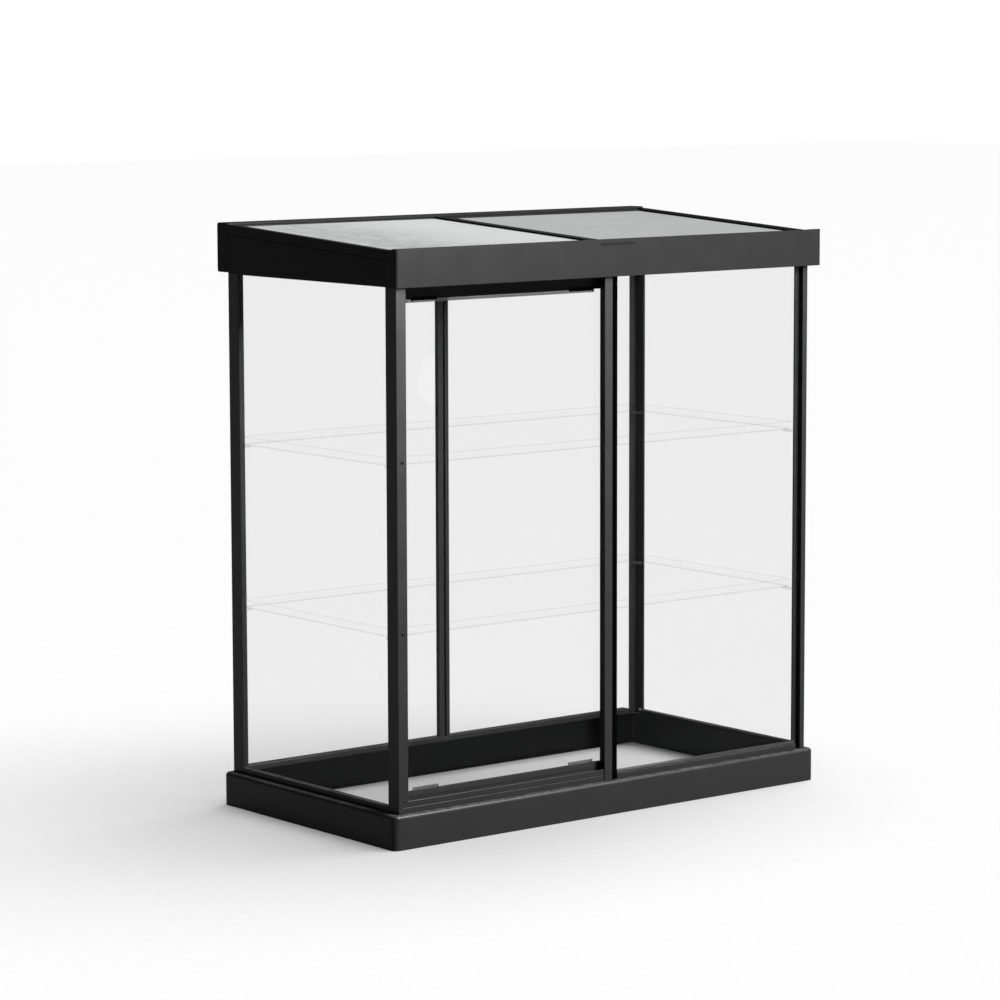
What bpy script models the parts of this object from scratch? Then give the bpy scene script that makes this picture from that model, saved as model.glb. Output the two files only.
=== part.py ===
"""A glazed lean-to display cabinet on an open plinth, with a sliding front door and a lifting roof panel.

Lengths are metres. Positions are measured from the plinth's front left corner: x to the right along the
front, y towards the back and z up from the floor. place() moves them so that the origin lies under the
middle of the cabinet.
"""

import math

import bmesh
import bpy
from mathutils import Vector

GAP = 0.0003
OVERCUT = 0.010
SMOOTH_ANGLE = math.radians(35)
BEVEL_ANGLE = math.radians(40)
SOFT_POST = 0.0008
SOFT_MIDDLE_POST = 0.0007
SOFT_SHELF = 0.0007
SOFT_SILL = 0.0006
SOFT_BACK_RAIL = 0.0005

# Plinth
PLINTH_WIDTH = 1.320
PLINTH_DEPTH = 0.693
PLINTH_HEIGHT = 0.081
PLINTH_WALL = 0.0225
PLINTH_CORNER_RADIUS = 0.015
PLINTH_EDGE_RADIUS = 0.008
PLINTH_SHELF = 0.037
PLINTH_SHELF_THICKNESS = 0.004
PLINTH_FOOT_LIP = 0.005
PLINTH_FOOT_THICKNESS = 0.003
PLINTH_INNER_RADIUS = 0.002
CORNER_STEPS = 8
EDGE_STEPS = 4
MITRE_OUT = 0.020
MITRE_IN = 0.120

# Wall frame, standing on the plinth
WALL_LEFT = 0.022
WALL_RIGHT = PLINTH_WIDTH - WALL_LEFT
WALL_FRONT = 0.0125
WALL_BACK = 0.6805
SILL_FRONT = 0.015
SILL_DEPTH = 0.021
SILL_TOP = 0.0944
SIDE_SILL_WIDTH = 0.018
BACK_SILL_FRONT = 0.657
LIP_DEPTH = 0.003
LIP_TOP = 0.109

# Corner posts
FRONT_POST_DEPTH = 0.0405
FRONT_POST_FACE = 0.028
FRONT_POST_THICKNESS = 0.0161
FRONT_POST_FOOT = 0.012
FRONT_POST_TOP = 1.362
FRONT_POST_NOTCH = 0.0235
RIGHT_POST_FACE = 0.0143
RIGHT_POST_FLANGE = 0.026
RIGHT_POST_SIDE = 0.008
RIGHT_POST_BACK = 0.034
BACK_POST_TOP = 1.395
BACK_POST_FRONT = 0.656
BACK_LEFT_SIDE_FRONT = 0.6389
BACK_LEFT_FACE = 0.027
BACK_RIGHT_SIDE_FRONT = 0.626
BACK_RIGHT_SIDE = 0.005
BACK_RIGHT_FACE = 0.027
BACK_RIGHT_PLATE = 0.0025

# Middle posts
MULLION_LEFT = 0.642
MULLION_BAR = 0.0235
MULLION_WIDTH = 0.042
MULLION_BACK = 0.0315
MULLION_BAR_BACK = 0.029
MULLION_TOP = 1.2996
GASKET_FRONT = 0.0145
GASKET_BACK = 0.024
GASKET_WIDTH = 0.0162
MIDDLE_POST_LEFT = 0.638
MIDDLE_POST_WIDTH = 0.0332
MIDDLE_POST_BACK = 0.6687
GROOVE_LEFT = 0.0156
GROOVE_WIDTH = 0.0061
GROOVE_DEPTH = 0.006

# Glass
GLASS = 0.004
GLASS_TOP = 1.2994
SIDE_GLASS_INSET = 0.002
BACK_GLASS_FRONT = 0.669
BACK_GLASS_JOINT = 0.650
BACK_GLASS_HALF_JOINT = 0.001
BACK_GLASS_RIGHT_END = 0.013
FRONT_GLASS_FRONT = 0.0243
FRONT_GLASS_CLEARANCE = 0.0012
NOTCH_HEIGHT = 1.004
NOTCH_RADIUS = 0.066
NOTCH_STEPS = 48

# Roof
ROOF_LEFT = 0.005
ROOF_RIGHT = PLINTH_WIDTH - ROOF_LEFT
ROOF_FRONT = -0.013
ROOF_BACK = 0.7002
ROOF_BOTTOM = 1.2955
ROOF_EDGE_HEIGHT = 1.379
ROOF_SLOPE = 0.0545
FASCIA_TOP = 1.3834
FASCIA_WALL = 0.0035
FASCIA_LIP = 0.003
FASCIA_DEPTH = 0.0242
END_CAP = 0.003
END_CAP_BACK = 0.0294
END_CAP_CREST = 0.002
END_CAP_DROP = 0.001
CAP_STEPS = 4
RIGHT_CAP_RISE = 0.002
RIGHT_CAP_RAISED = 0.020
SIDE_BOARD = 0.0167
SIDE_BOARD_LIFT = 0.001
SIDE_BOARD_BACK = 0.6557
SIDE_GROOVE_BELOW = 0.020
SIDE_GROOVE_WIDTH = 0.003
SIDE_GROOVE_DEPTH = 0.0015
BACK_RAIL_TOP = 1.418
BACK_RAIL_BOTTOM = 1.300
BACK_RAIL_FLANGE = 0.015
BACK_RAIL_PLATE_FRONT = 0.6808
BACK_RAIL_CORNER = 0.006
BACK_RAIL_NICK_DROP = 0.0065
BACK_RAIL_NICK_HALF = 0.001
BACK_RAIL_NICK_DEPTH = 0.002
PANEL_DROP = 0.0065
PANEL = 0.008
PANEL_FRONT = 0.013
GLAZING_BAR_LEFT = 0.628
GLAZING_BAR = 0.014
BAR_RISE = 0.005
HEAD_RAIL_FRONT = 0.0125
HEAD_RAIL_BACK = 0.0357
HEAD_RAIL_BOTTOM = 1.300
TRIM_LEFT = 0.6095
TRIM_WIDTH = 0.101
TRIM_BOTTOM = 1.371
TRIM_HEIGHT = 0.005
TRIM_DEPTH = 0.0015

# Roof hatch, hinged along the back
HATCH_CLEARANCE = 0.0006
HATCH_SIDE_BAR = 0.014
HATCH_RIGHT_BAR = 0.008
HATCH_FRONT = 0.0133
HATCH_FRONT_BAR = 0.010
HATCH_BACK_BAR_FRONT = 0.640
HINGE_Y = 0.651
HINGE_RADIUS = 0.0042
HINGE_STEPS = 12

# Sliding door, behind the fixed pane
DOOR_LEFT = 0.0525
DOOR_RIGHT = 0.655
DOOR_RAIL_FRONT = 0.038
DOOR_RAIL_BACK = 0.050
DOOR_GLASS_FRONT = 0.042
DOOR_BOTTOM = 0.0868
DOOR_BOTTOM_STEP = 0.112
DOOR_BOTTOM_RAIL_TOP = 0.1245
DOOR_FOOT_FRONT = 0.040
DOOR_FOOT_BACK = 0.0495
DOOR_SLOT_BOTTOM = 0.102
DOOR_TOP_RAIL_BOTTOM = 1.2650
DOOR_TOP = 1.302
DOOR_SLOT_TOP = 1.290
EDGE_STRIP = 0.0245
TRIM_SETBACK = 0.0005
TRACK_FRONT = 0.0363
TRACK_BACK = 0.0537
LOWER_TRACK_TOP = 0.0862
UPPER_TRACK_BOTTOM = 1.303
UPPER_TRACK_TOP = 1.309
SEAL_BOTTOM = 1.2573
SHOE_WIDTH = 0.074
SHOE_HEIGHT = 0.0085
TOP_SHOE_BOTTOM = 1.2617
TOP_SHOE_DEPTH = 0.0013
SHOE_LEFTS = (0.084, 0.5515)

# Shelves
SHELF_LEFT = 0.0345
SHELF_RIGHT = 1.2895
SHELF_FRONT = 0.060
SHELF_BACK = 0.652
SHELF_TOPS = {"upper": 0.9050, "lower": 0.5085}
SHELF_HEIGHT = 0.0215
SHELF_SHEET = 0.009
SHELF_RIM = 0.004
BRACKET_HEIGHT = 0.005
BRACKET_WIDTH = 0.0135
FRONT_BRACKET = (0.044, 0.076)
BACK_BRACKET = (0.630, 0.6517)

CENTRE_X = PLINTH_WIDTH / 2
CENTRE_Y = (ROOF_FRONT - TRIM_DEPTH - GAP + ROOF_BACK) / 2

# Colour, roughness, metallic value and opacity of each finish
FINISHES = {
    "coated_aluminium": ((0.016, 0.016, 0.017), 0.42, 0.55, 1.0),
    "black_rubber": ((0.004, 0.004, 0.004), 0.75, 0.0, 1.0),
    "clear_glass": ((0.86, 0.88, 0.88), 0.03, 0.0, 0.18),
    "clear_plastic": ((0.78, 0.80, 0.80), 0.12, 0.0, 0.35),
    "clear_shelf": ((0.82, 0.85, 0.85), 0.05, 0.0, 0.25),
    "frosted_panel": ((0.62, 0.63, 0.64), 0.35, 0.0, 0.9),
}


def clear_scene():
    for existing in list(bpy.data.objects):
        bpy.data.objects.remove(existing, do_unlink=True)


def place(x, y, z):
    """A point measured from the plinth's front left corner, in scene coordinates."""
    return Vector((x - CENTRE_X, y - CENTRE_Y, z))


def finish_of(name, finish):
    colour, roughness, metallic, opacity = FINISHES[finish]
    material = bpy.data.materials.new(f"{name}_{finish}")
    material.use_nodes = True
    shader = material.node_tree.nodes["Principled BSDF"]
    shader.inputs["Base Color"].default_value = (*colour, 1.0)
    shader.inputs["Roughness"].default_value = roughness
    shader.inputs["Metallic"].default_value = metallic
    shader.inputs["Alpha"].default_value = opacity
    return material


def make_object(name, points, faces, finish, parent=None):
    """A mesh object from points already in scene coordinates, with its faces turned outwards."""
    mesh = bpy.data.meshes.new(name)
    mesh.from_pydata([tuple(point) for point in points], [], faces)
    shape = bmesh.new()
    shape.from_mesh(mesh)
    bmesh.ops.recalc_face_normals(shape, faces=shape.faces)
    shape.to_mesh(mesh)
    shape.free()
    mesh.materials.append(finish_of(name, finish))
    made = bpy.data.objects.new(name, mesh)
    bpy.context.collection.objects.link(made)
    if parent is not None:
        made.parent = parent
        made.matrix_parent_inverse = parent.matrix_world.inverted()
    return made


def extrude(name, outline, axis, start, end, finish, parent=None):
    """A bar of constant section. The outline's pairs are (y, z), (x, z) or (x, y) for axis x, y or z."""
    order = {
        "x": lambda along, a, b: place(along, a, b),
        "y": lambda along, a, b: place(a, along, b),
        "z": lambda along, a, b: place(a, b, along),
    }[axis]
    count = len(outline)
    points = [order(start, a, b) for a, b in outline]
    points += [order(end, a, b) for a, b in outline]
    faces = [list(range(count)), list(range(2 * count - 1, count - 1, -1))]
    for i in range(count):
        j = (i + 1) % count
        faces.append([i, j, count + j, count + i])
    return make_object(name, points, faces, finish, parent)


def block(name, xs, ys, zs, finish, parent=None):
    """A plain rectangular bar or sheet."""
    outline = [(xs[0], ys[0]), (xs[1], ys[0]), (xs[1], ys[1]), (xs[0], ys[1])]
    return extrude(name, outline, "z", zs[0], zs[1], finish, parent)


def soften(made, width, segments=2):
    """Breaks the sharp edges of a bar as its coating would."""
    bevel = made.modifiers.new("Softened edges", "BEVEL")
    bevel.width = width
    bevel.segments = segments
    bevel.limit_method = "ANGLE"
    bevel.angle_limit = BEVEL_ANGLE
    return made


def combine(target, other, operation):
    """Applies a Boolean to the target and removes the other object."""
    modifier = target.modifiers.new("Shape", "BOOLEAN")
    modifier.solver = "EXACT"
    modifier.operation = operation
    modifier.object = other
    bpy.context.view_layer.update()
    graph = bpy.context.evaluated_depsgraph_get()
    result = bpy.data.meshes.new_from_object(target.evaluated_get(graph))
    target.modifiers.clear()
    target.data = result
    bpy.data.objects.remove(other, do_unlink=True)
    return target


def roof_line(y):
    """Height of the side boards' sloping top edge."""
    return ROOF_EDGE_HEIGHT + ROOF_SLOPE * y


def panel_top(y):
    return roof_line(y) - PANEL_DROP


def panel_bottom(y):
    return panel_top(y) - PANEL


def bar_top(y):
    return panel_top(y) + BAR_RISE


def sloping_block(name, xs, ys, bottom, top, finish, parent=None):
    """A bar or sheet whose top and bottom follow heights given as functions of y."""
    outline = [
        (ys[0], bottom(ys[0])),
        (ys[1], bottom(ys[1])),
        (ys[1], top(ys[1])),
        (ys[0], top(ys[0])),
    ]
    return extrude(name, outline, "x", xs[0], xs[1], finish, parent)


def ring_loop(inset, radius, height):
    """A rounded rectangle around the plinth, inset from its outer faces."""
    left = inset
    right = PLINTH_WIDTH - inset
    front = inset
    back = PLINTH_DEPTH - inset
    centres = [
        (right - radius, back - radius, 0),
        (left + radius, back - radius, 90),
        (left + radius, front + radius, 180),
        (right - radius, front + radius, 270),
    ]
    loop = []
    for x, y, first in centres:
        for step in range(CORNER_STEPS + 1):
            angle = math.radians(first + 90 * step / CORNER_STEPS)
            loop.append(place(x + radius * math.cos(angle), y + radius * math.sin(angle), height))
    return loop


def plinth_ring(name):
    """The whole plinth as one closed band, before it is cut into its four mitred boards."""
    edge = PLINTH_EDGE_RADIUS
    loops = [ring_loop(0, PLINTH_CORNER_RADIUS, 0)]
    for step in range(EDGE_STEPS + 1):
        angle = math.radians(90 * step / EDGE_STEPS)
        inset = edge * (1 - math.cos(angle))
        height = PLINTH_HEIGHT - edge + edge * math.sin(angle)
        loops.append(ring_loop(inset, PLINTH_CORNER_RADIUS - inset, height))
    inner = PLINTH_INNER_RADIUS
    shelf_bottom = PLINTH_HEIGHT - PLINTH_SHELF_THICKNESS
    foot = PLINTH_WALL + PLINTH_FOOT_LIP
    loops.append(ring_loop(PLINTH_SHELF, inner, PLINTH_HEIGHT))
    loops.append(ring_loop(PLINTH_SHELF, inner, shelf_bottom))
    loops.append(ring_loop(PLINTH_WALL, inner, shelf_bottom))
    loops.append(ring_loop(PLINTH_WALL, inner, PLINTH_FOOT_THICKNESS))
    loops.append(ring_loop(foot, inner, PLINTH_FOOT_THICKNESS))
    loops.append(ring_loop(foot, inner, 0))
    count = len(loops[0])
    points = [point for loop in loops for point in loop]
    faces = []
    for row in range(len(loops)):
        following = (row + 1) % len(loops)
        for i in range(count):
            j = (i + 1) % count
            faces.append([row * count + i, row * count + j, following * count + j, following * count + i])
    return make_object(name, points, faces, "coated_aluminium")


def plinth_board(name, wedge):
    """One side of the plinth: the band kept only inside a wedge with mitred ends."""
    board = plinth_ring(name)
    keeper = extrude("wedge", wedge, "z", -OVERCUT, PLINTH_HEIGHT + OVERCUT, "coated_aluminium")
    combine(board, keeper, "INTERSECT")
    board.data.shade_smooth()
    board.data.set_sharp_from_angle(angle=SMOOTH_ANGLE)
    return board


def build_plinth():
    out = MITRE_OUT
    reach = MITRE_IN
    half_gap = GAP / 2
    width = PLINTH_WIDTH
    depth = PLINTH_DEPTH
    plinth_board("plinth_front", [
        (-out + half_gap, -out - half_gap), (width + out - half_gap, -out - half_gap),
        (width - reach - half_gap, reach - half_gap), (reach + half_gap, reach - half_gap)])
    plinth_board("plinth_back", [
        (-out + half_gap, depth + out + half_gap), (reach + half_gap, depth - reach + half_gap),
        (width - reach - half_gap, depth - reach + half_gap),
        (width + out - half_gap, depth + out + half_gap)])
    plinth_board("plinth_left", [
        (-out - half_gap, -out + half_gap), (reach - half_gap, reach + half_gap),
        (reach - half_gap, depth - reach - half_gap), (-out - half_gap, depth + out - half_gap)])
    plinth_board("plinth_right", [
        (width + out + half_gap, -out + half_gap), (width + out + half_gap, depth + out - half_gap),
        (width - reach + half_gap, depth - reach - half_gap), (width - reach + half_gap, reach + half_gap)])


def build_sills():
    bottom = PLINTH_HEIGHT + GAP
    foot_right = WALL_LEFT + FRONT_POST_FOOT
    mullion_right = MULLION_LEFT + MULLION_WIDTH
    flange_left = WALL_RIGHT - RIGHT_POST_FLANGE
    black = "coated_aluminium"
    front = (SILL_FRONT, SILL_FRONT + SILL_DEPTH)
    left_half = (foot_right + GAP, MULLION_LEFT - GAP)
    soften(block("front_sill_left", left_half, front, (bottom, SILL_TOP), black), SOFT_SILL)
    right_half = (mullion_right + GAP, flange_left - GAP)
    soften(block("front_sill_right", right_half, front, (bottom, SILL_TOP), black), SOFT_SILL)
    lip = (SILL_FRONT, SILL_FRONT + LIP_DEPTH)
    soften(block("door_threshold", left_half, lip, (SILL_TOP + GAP, LIP_TOP), black), SOFT_SILL)
    side = (WALL_FRONT + FRONT_POST_DEPTH + GAP, BACK_LEFT_SIDE_FRONT - GAP)
    left = (WALL_LEFT, WALL_LEFT + SIDE_SILL_WIDTH)
    soften(block("side_sill_left", left, side, (bottom, SILL_TOP), black), SOFT_SILL)
    side = (WALL_FRONT + FRONT_POST_DEPTH + GAP, BACK_RIGHT_SIDE_FRONT - GAP)
    right = (WALL_RIGHT - SIDE_SILL_WIDTH, WALL_RIGHT)
    soften(block("side_sill_right", right, side, (bottom, SILL_TOP), black), SOFT_SILL)
    back = (WALL_LEFT + BACK_LEFT_FACE + GAP, WALL_RIGHT - BACK_RIGHT_FACE - GAP)
    depth = (BACK_SILL_FRONT, WALL_BACK)
    soften(block("back_sill", back, depth, (bottom, SILL_TOP), black), SOFT_SILL)


def build_posts():
    bottom = PLINTH_HEIGHT + GAP
    black = "coated_aluminium"
    left = WALL_LEFT
    front = WALL_FRONT
    foot = left + FRONT_POST_FOOT
    edge = left + FRONT_POST_FACE
    inner = front + FRONT_POST_THICKNESS
    outline = [
        (left, front), (edge, front), (edge, inner),
        (foot, inner), (foot, front + FRONT_POST_DEPTH), (left, front + FRONT_POST_DEPTH)]
    post = extrude("corner_post_front_left", outline, "z", bottom, FRONT_POST_TOP, black)
    clearance = extrude("clearance", [
        (foot, front - OVERCUT), (edge + OVERCUT, front - OVERCUT),
        (edge + OVERCUT, front + FRONT_POST_NOTCH), (foot, front + FRONT_POST_NOTCH)],
        "z", bottom - OVERCUT, LIP_TOP + GAP, black)
    combine(post, clearance, "DIFFERENCE")
    soften(post, SOFT_POST)
    right = WALL_RIGHT
    flange_front = front + FRONT_POST_THICKNESS
    side = right - RIGHT_POST_SIDE
    outline = [
        (right, front), (right, front + FRONT_POST_DEPTH), (side, front + FRONT_POST_DEPTH),
        (side, RIGHT_POST_BACK), (right - RIGHT_POST_FLANGE, RIGHT_POST_BACK),
        (right - RIGHT_POST_FLANGE, flange_front), (right - RIGHT_POST_FACE, flange_front),
        (right - RIGHT_POST_FACE, front)]
    soften(extrude("corner_post_front_right", outline, "z", bottom, FRONT_POST_TOP, black), SOFT_POST)
    side = left + FRONT_POST_FOOT
    outline = [
        (left, BACK_LEFT_SIDE_FRONT), (side, BACK_LEFT_SIDE_FRONT), (side, BACK_POST_FRONT),
        (left + BACK_LEFT_FACE, BACK_POST_FRONT), (left + BACK_LEFT_FACE, WALL_BACK), (left, WALL_BACK)]
    soften(extrude("corner_post_back_left", outline, "z", bottom, BACK_POST_TOP, black), SOFT_POST)
    side = right - BACK_RIGHT_SIDE
    plate_left = right - BACK_RIGHT_FACE
    plate_back = BACK_POST_FRONT + BACK_RIGHT_PLATE
    outline = [
        (right, BACK_RIGHT_SIDE_FRONT), (right, WALL_BACK), (side, WALL_BACK),
        (side, plate_back), (plate_left, plate_back),
        (plate_left, BACK_POST_FRONT), (side, BACK_POST_FRONT), (side, BACK_RIGHT_SIDE_FRONT)]
    soften(extrude("corner_post_back_right", outline, "z", bottom, BACK_POST_TOP, black), SOFT_POST)
    bar = MULLION_LEFT + MULLION_BAR
    outline = [
        (MULLION_LEFT, front), (bar, front), (bar, MULLION_BAR_BACK),
        (MULLION_LEFT + MULLION_WIDTH, MULLION_BAR_BACK), (MULLION_LEFT + MULLION_WIDTH, MULLION_BACK),
        (MULLION_LEFT, MULLION_BACK)]
    soften(extrude("front_mullion", outline, "z", bottom, MULLION_TOP, black), SOFT_POST)
    gasket = (bar + GAP, bar + GAP + GASKET_WIDTH)
    block("mullion_gasket", gasket, (GASKET_FRONT, GASKET_BACK), (bottom, MULLION_TOP), "black_rubber")
    start = MIDDLE_POST_LEFT
    groove = start + GROOVE_LEFT
    face = BACK_POST_FRONT
    outline = [
        (start, face), (groove, face), (groove, face + GROOVE_DEPTH),
        (groove + GROOVE_WIDTH, face + GROOVE_DEPTH),
        (groove + GROOVE_WIDTH, face), (start + MIDDLE_POST_WIDTH, face),
        (start + MIDDLE_POST_WIDTH, MIDDLE_POST_BACK), (start, MIDDLE_POST_BACK)]
    piece = extrude("back_middle_post", outline, "z", SILL_TOP + GAP, BACK_POST_TOP, black)
    soften(piece, SOFT_MIDDLE_POST)


def build_glass():
    bottom = SILL_TOP + GAP
    heights = (bottom, GLASS_TOP)
    front = WALL_FRONT + FRONT_POST_DEPTH + GAP
    left = WALL_LEFT + SIDE_GLASS_INSET
    side = (front, BACK_LEFT_SIDE_FRONT - GAP)
    block("side_glass_left", (left, left + GLASS), side, heights, "clear_glass")
    right = WALL_RIGHT - SIDE_GLASS_INSET
    side = (front, BACK_RIGHT_SIDE_FRONT - GAP)
    block("side_glass_right", (right - GLASS, right), side, heights, "clear_glass")
    depth = (BACK_GLASS_FRONT, BACK_GLASS_FRONT + GLASS)
    edge = WALL_LEFT + BACK_LEFT_FACE + GAP
    joint_left = BACK_GLASS_JOINT - BACK_GLASS_HALF_JOINT
    pane = block("back_glass_left", (edge, joint_left), depth, heights, "clear_glass")
    circle = []
    for step in range(NOTCH_STEPS):
        angle = 2 * math.pi * step / NOTCH_STEPS
        across = joint_left + NOTCH_RADIUS * math.cos(angle)
        circle.append((across, NOTCH_HEIGHT + NOTCH_RADIUS * math.sin(angle)))
    hole = extrude("hole", circle, "y", depth[0] - OVERCUT, depth[1] + OVERCUT, "clear_glass")
    combine(pane, hole, "DIFFERENCE")
    edge = WALL_RIGHT - BACK_GLASS_RIGHT_END
    joint_right = BACK_GLASS_JOINT + BACK_GLASS_HALF_JOINT
    block("back_glass_right", (joint_right, edge), depth, heights, "clear_glass")
    edge = MULLION_LEFT + MULLION_BAR + 2 * GAP + GASKET_WIDTH
    span = (edge, WALL_RIGHT - RIGHT_POST_FACE - FRONT_GLASS_CLEARANCE)
    depth = (FRONT_GLASS_FRONT, FRONT_GLASS_FRONT + GLASS)
    block("front_glass_fixed", span, depth, heights, "clear_glass")


def build_roof():
    black = "coated_aluminium"
    web = ROOF_FRONT + FASCIA_WALL
    lip = ROOF_FRONT + FASCIA_DEPTH
    low_lip = ROOF_BOTTOM + FASCIA_LIP
    high_lip = FASCIA_TOP - FASCIA_LIP
    outline = [
        (ROOF_FRONT, ROOF_BOTTOM), (lip, ROOF_BOTTOM), (lip, low_lip), (web, low_lip),
        (web, high_lip), (lip, high_lip), (lip, FASCIA_TOP), (ROOF_FRONT, FASCIA_TOP)]
    start = ROOF_LEFT + END_CAP + GAP
    end = ROOF_RIGHT - END_CAP - GAP
    soften(extrude("roof_fascia", outline, "x", start, end, black), SOFT_POST)
    outline = [
        (ROOF_FRONT, ROOF_BOTTOM), (END_CAP_BACK, ROOF_BOTTOM), (END_CAP_BACK, roof_line(END_CAP_BACK)),
        (END_CAP_CREST, FASCIA_TOP - END_CAP_DROP), (ROOF_FRONT, FASCIA_TOP)]
    soften(extrude("fascia_end_left", outline, "x", ROOF_LEFT, ROOF_LEFT + END_CAP, black), SOFT_SILL)
    raised = [(y, z + RIGHT_CAP_RISE if z > FASCIA_TOP - RIGHT_CAP_RAISED else z) for y, z in outline]
    soften(extrude("fascia_end_right", raised, "x", ROOF_RIGHT - END_CAP, ROOF_RIGHT, black), SOFT_SILL)
    for side, outer in (("left", ROOF_LEFT), ("right", ROOF_RIGHT - SIDE_BOARD)):
        ys = (END_CAP_BACK + GAP, SIDE_BOARD_BACK)
        name = f"roof_side_{side}"
        xs = (outer, outer + SIDE_BOARD)
        board = sloping_block(name, xs, ys, lambda y: ROOF_BOTTOM + SIDE_BOARD_LIFT, roof_line, black)
        cut_from = outer - OVERCUT if side == "left" else outer + SIDE_BOARD - SIDE_GROOVE_DEPTH
        groove = sloping_block(
            "groove", (cut_from, cut_from + OVERCUT + SIDE_GROOVE_DEPTH), (ys[0] - OVERCUT, ys[1] + OVERCUT),
            lambda y: roof_line(y) - SIDE_GROOVE_BELOW - SIDE_GROOVE_WIDTH,
            lambda y: roof_line(y) - SIDE_GROOVE_BELOW, black)
        combine(board, groove, "DIFFERENCE")
        soften(board, SOFT_SILL)
    plate = BACK_RAIL_PLATE_FRONT
    flange = BACK_RAIL_TOP - BACK_RAIL_FLANGE
    nick = BACK_RAIL_TOP - BACK_RAIL_NICK_DROP
    outline = [
        (plate, BACK_RAIL_BOTTOM), (ROOF_BACK, BACK_RAIL_BOTTOM), (ROOF_BACK, BACK_RAIL_TOP),
        (BACK_POST_FRONT, BACK_RAIL_TOP), (BACK_POST_FRONT, nick + BACK_RAIL_NICK_HALF),
        (BACK_POST_FRONT + BACK_RAIL_NICK_DEPTH, nick), (BACK_POST_FRONT, nick - BACK_RAIL_NICK_HALF),
        (BACK_POST_FRONT, flange), (plate, flange)]
    soften(extrude("roof_back_rail", outline, "x", start, end, black), SOFT_BACK_RAIL)
    outline = [(BACK_POST_FRONT, BACK_RAIL_BOTTOM)]
    corner = BACK_RAIL_CORNER
    for centre_z, first in ((BACK_RAIL_BOTTOM + corner, -90), (BACK_RAIL_TOP - corner, 0)):
        for step in range(CAP_STEPS + 1):
            angle = math.radians(first + 90 * step / CAP_STEPS)
            y = ROOF_BACK - corner + corner * math.cos(angle)
            outline.append((y, centre_z + corner * math.sin(angle)))
    outline.append((BACK_POST_FRONT, BACK_RAIL_TOP))
    for side, outer in (("left", ROOF_LEFT), ("right", ROOF_RIGHT - END_CAP)):
        soften(extrude(f"back_rail_end_{side}", outline, "x", outer, outer + END_CAP, black), SOFT_SILL)
    head = (WALL_LEFT + FRONT_POST_FACE + GAP, WALL_RIGHT - RIGHT_POST_FLANGE - GAP)
    ys = (HEAD_RAIL_FRONT, HEAD_RAIL_BACK)
    sloping_block(
        "front_head_rail", head, ys, lambda y: HEAD_RAIL_BOTTOM, lambda y: panel_bottom(y) - GAP, black)
    depth = (ROOF_FRONT - GAP - TRIM_DEPTH, ROOF_FRONT - GAP)
    heights = (TRIM_BOTTOM, TRIM_BOTTOM + TRIM_HEIGHT)
    width = (TRIM_LEFT, TRIM_LEFT + TRIM_WIDTH)
    soften(block("fascia_centre_trim", width, depth, heights, "black_rubber"), SOFT_POST)
    span = (PANEL_FRONT, SIDE_BOARD_BACK)
    left = ROOF_LEFT + SIDE_BOARD + GAP
    sheet = (left, GLAZING_BAR_LEFT - GAP)
    sloping_block("roof_panel_fixed", sheet, span, panel_bottom, panel_top, "frosted_panel")
    bar = (GLAZING_BAR_LEFT, GLAZING_BAR_LEFT + GLAZING_BAR)
    soften(sloping_block("roof_glazing_bar", bar, span, panel_bottom, bar_top, black), SOFT_POST)


def build_hatch():
    """The lifting half of the roof: a sheet in a thin frame, turning about the round bar along its back."""
    black = "coated_aluminium"
    hinge_z = (panel_bottom(HINGE_Y) + bar_top(HINGE_Y)) / 2
    left = GLAZING_BAR_LEFT + GLAZING_BAR + HATCH_CLEARANCE
    right = ROOF_RIGHT - SIDE_BOARD - HATCH_CLEARANCE
    pivot = bpy.data.objects.new("hatch_hinge_axis", None)
    bpy.context.collection.objects.link(pivot)
    pivot.location = place((left + right) / 2, HINGE_Y, hinge_z)
    bpy.context.view_layer.update()
    sheet = (left + HATCH_SIDE_BAR + GAP, right - HATCH_RIGHT_BAR - GAP)
    front = HATCH_FRONT + HATCH_FRONT_BAR
    back = HATCH_BACK_BAR_FRONT
    side = (front + GAP, back - GAP)
    sloping_block("hatch_panel", sheet, side, panel_bottom, panel_top, "frosted_panel", pivot)
    bar = (left, left + HATCH_SIDE_BAR)
    soften(sloping_block("hatch_bar_left", bar, side, panel_bottom, bar_top, black, pivot), SOFT_POST)
    bar = (right - HATCH_RIGHT_BAR, right)
    soften(sloping_block("hatch_bar_right", bar, side, panel_bottom, bar_top, black, pivot), SOFT_POST)
    across = (left, right)
    ys = (HATCH_FRONT, front)
    soften(sloping_block("hatch_bar_front", across, ys, panel_bottom, bar_top, black, pivot), SOFT_POST)
    outline = [(back, hinge_z - HINGE_RADIUS)]
    for step in range(HINGE_STEPS + 1):
        angle = math.radians(-90 + 180 * step / HINGE_STEPS)
        y = HINGE_Y + HINGE_RADIUS * math.cos(angle)
        outline.append((y, hinge_z + HINGE_RADIUS * math.sin(angle)))
    outline.append((back, hinge_z + HINGE_RADIUS))
    barrel = extrude("hatch_hinge_bar", outline, "x", left, right, black, pivot)
    barrel.data.shade_smooth()
    barrel.data.set_sharp_from_angle(angle=SMOOTH_ANGLE)


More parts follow.
